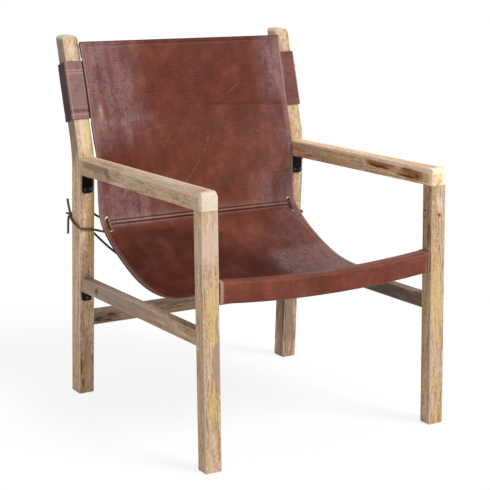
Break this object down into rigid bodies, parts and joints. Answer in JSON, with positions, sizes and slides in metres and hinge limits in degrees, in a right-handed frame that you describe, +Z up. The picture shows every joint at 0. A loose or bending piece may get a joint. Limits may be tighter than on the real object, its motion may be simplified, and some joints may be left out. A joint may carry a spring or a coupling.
{
  "type": "lounge chair",
  "caption": "Leather sling lounge chair: squared hardwood frame with flat arms, and one leather sheet slung from the raked rear posts to a dished front rail.",
  "frame": {"origin": "on the floor, under the middle of the chair's own box", "axes": "+Z up, the chair faces -Y, and +X is on the right hand of someone who looks at its front"},
  "size_m": [0.6538, 0.7134, 0.872],
  "materials": {
    "wood": "light mango wood, sanded smooth, clear matt lacquer",
    "dowel_wood": "plain turned hardwood dowel, unfinished",
    "leather": "smooth waxed reddish brown cowhide with soft sheen and small marks",
    "lace_leather": "dark brown round leather lace, matt",
    "black_steel": "satin black paint on steel",
    "screw_steel": "zinc plated steel",
    "nickel": "bright nickel plate"
  },
  "bodies": {
    "root": {"rear_post_left": "wood", "front_post_left": "wood", "arm_left": "wood", "side_rail_left": "wood", "rear_post_right": "wood", "front_post_right": "wood", "arm_right": "wood", "side_rail_right": "wood", "rear_cross_rail": "wood", "front_rail": "wood", "arm_dowel_left_outer": "dowel_wood", "arm_dowel_left_inner": "dowel_wood", "side_rail_dowel_left": "dowel_wood", "cross_rail_dowel_left": "dowel_wood", "front_rail_dowel_left_upper": "dowel_wood", "front_rail_dowel_left_lower": "dowel_wood", "arm_dowel_right_outer": "dowel_wood", "arm_dowel_right_inner": "dowel_wood", "side_rail_dowel_right": "dowel_wood", "cross_rail_dowel_right": "dowel_wood", "front_rail_dowel_right_upper": "dowel_wood", "front_rail_dowel_right_lower": "dowel_wood", "arm_bracket_left": "black_steel", "rail_bracket_left": "black_steel", "arm_bracket_screw_left_post_outer": "screw_steel", "arm_bracket_screw_left_arm_outer": "screw_steel", "arm_bracket_screw_left_post_inner": "screw_steel", "arm_bracket_screw_left_arm_inner": "screw_steel", "rail_bracket_screw_left_post": "screw_steel", "rail_bracket_screw_left_rail": "screw_steel", "loop_screw_left_upper": "screw_steel", "loop_screw_left_lower": "screw_steel", "arm_bracket_right": "black_steel", "rail_bracket_right": "black_steel", "arm_bracket_screw_right_post_outer": "screw_steel", "arm_bracket_screw_right_arm_outer": "screw_steel", "arm_bracket_screw_right_post_inner": "screw_steel", "arm_bracket_screw_right_arm_inner": "screw_steel", "rail_bracket_screw_right_post": "screw_steel", "rail_bracket_screw_right_rail": "screw_steel", "loop_screw_right_upper": "screw_steel", "loop_screw_right_lower": "screw_steel", "sling": "leather", "post_loop_left": "leather", "post_loop_right": "leather", "eyelet_left_upper": "nickel", "eyelet_left_lower": "nickel", "eyelet_right_upper": "nickel", "eyelet_right_lower": "nickel", "lace_wrap_left": "lace_leather", "lace_knot_left": "lace_leather", "lace_wrap_right": "lace_leather", "lace_knot_right": "lace_leather", "lace_cross": "lace_leather", "lace_tail_left_upper": "lace_leather", "lace_tail_left_middle": "lace_leather", "lace_tail_left_lower": "lace_leather", "lace_tail_right_upper": "lace_leather", "lace_tail_right_lower": "lace_leather"}
  },
  "joints": []
}
